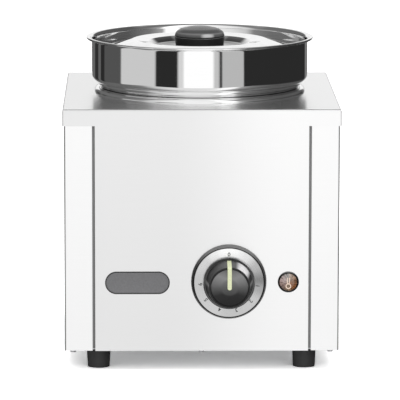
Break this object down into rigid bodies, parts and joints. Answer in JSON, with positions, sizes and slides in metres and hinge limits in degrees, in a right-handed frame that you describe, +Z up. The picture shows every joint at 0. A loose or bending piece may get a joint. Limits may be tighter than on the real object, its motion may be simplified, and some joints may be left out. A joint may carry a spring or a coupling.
{
  "type": "soup kettle",
  "caption": "Counter-top soup kettle: square steel housing with a heated water well, a lift-out round pot with an inset lid, a rotary heat control and a pilot lamp.",
  "frame": {"origin": "centre of the whole object's box, at the floor under the feet", "axes": "+Z up, -Y towards the control side, +X to the right seen from the control side"},
  "size_m": [0.3, 0.3878, 0.3579],
  "materials": {
    "satin_steel_front": "satin, fine brushed",
    "satin_steel_side": "satin, fine brushed",
    "satin_steel_well": "satin, drawn",
    "polished_steel": "mirror polished",
    "polished_lid": "mirror polished",
    "zinc_plate": "zinc plated",
    "zinc_fastener": "zinc plated",
    "aluminium_plate": "as rolled",
    "element_sheath": "oxidised sheath",
    "copper_bulb": "copper",
    "brass_stud": "turned",
    "brushed_dial": "circular brushed",
    "dark_rim": "gloss",
    "grey_badge": "satin",
    "amber_lens": "moulded clear",
    "knob_plastic": "fine satin",
    "pointer_ivory": "printed line",
    "lid_knob_plastic": "satin phenolic",
    "black_plastic": "moulded",
    "black_rubber": "moulded",
    "white_plastic": "moulded",
    "ceramic_white": "bare",
    "mineral_wool": "fibrous",
    "red_insulation": "extruded"
  },
  "bodies": {
    "housing": {"top_and_front_panel": "satin_steel_front", "left_side_panel": "satin_steel_side", "right_side_panel": "satin_steel_side", "rear_panel": "satin_steel_side", "base_plate": "zinc_plate", "foot_front_left": "black_rubber", "foot_front_right": "black_rubber", "foot_rear_left": "black_rubber", "foot_rear_right": "black_rubber", "foot_screws": "zinc_fastener", "foot_nuts": "zinc_fastener", "base_screws": "zinc_fastener", "rear_screws": "zinc_fastener", "water_well": "satin_steel_well", "well_insulation": "mineral_wool", "clamp_stud": "zinc_fastener", "heating_element": "element_sheath", "element_clamp_plate": "aluminium_plate", "clamp_nut": "zinc_fastener", "safety_cutout": "ceramic_white", "thermostat_body": "white_plastic", "thermostat_nut": "zinc_fastener", "thermostat_bulb": "copper_bulb", "dial_plate": "brushed_dial", "dial_rim": "dark_rim", "pilot_lamp_bezel": "dark_rim", "pilot_lamp_lens": "amber_lens", "pilot_lamp_body": "white_plastic", "pilot_lamp_clip": "zinc_fastener", "badge_plate": "grey_badge", "terminal_block": "white_plastic", "earth_stud": "brass_stud", "internal_wiring": "red_insulation", "cable_gland": "black_plastic", "gland_nut": "black_plastic"},
    "knob": {"thermostat_shaft": "zinc_fastener", "control_knob": "knob_plastic", "knob_pointer": "pointer_ivory"},
    "pot": {"pot": "polished_steel", "lid_ledge": "polished_steel"},
    "lid": {"lid": "polished_lid", "lid_knob": "lid_knob_plastic", "lid_knob_washer": "zinc_fastener", "lid_knob_screw": "zinc_fastener"}
  },
  "joints": [
    {"name": "knob_turn", "type": "hinge", "parent": "housing", "child": "knob", "pos_m": [0.0291, -0.1534, 0.0981], "axis": [0, 1, 0], "range_deg": [0, 267]},
    {"name": "pot_lift", "type": "slide", "parent": "housing", "child": "pot", "axis": [0, 0, 1], "range_m": [0, 0.17]},
    {"name": "lid_lift", "type": "slide", "parent": "pot", "child": "lid", "axis": [0, 0, 1], "range_m": [0, 0.1]}
  ]
}
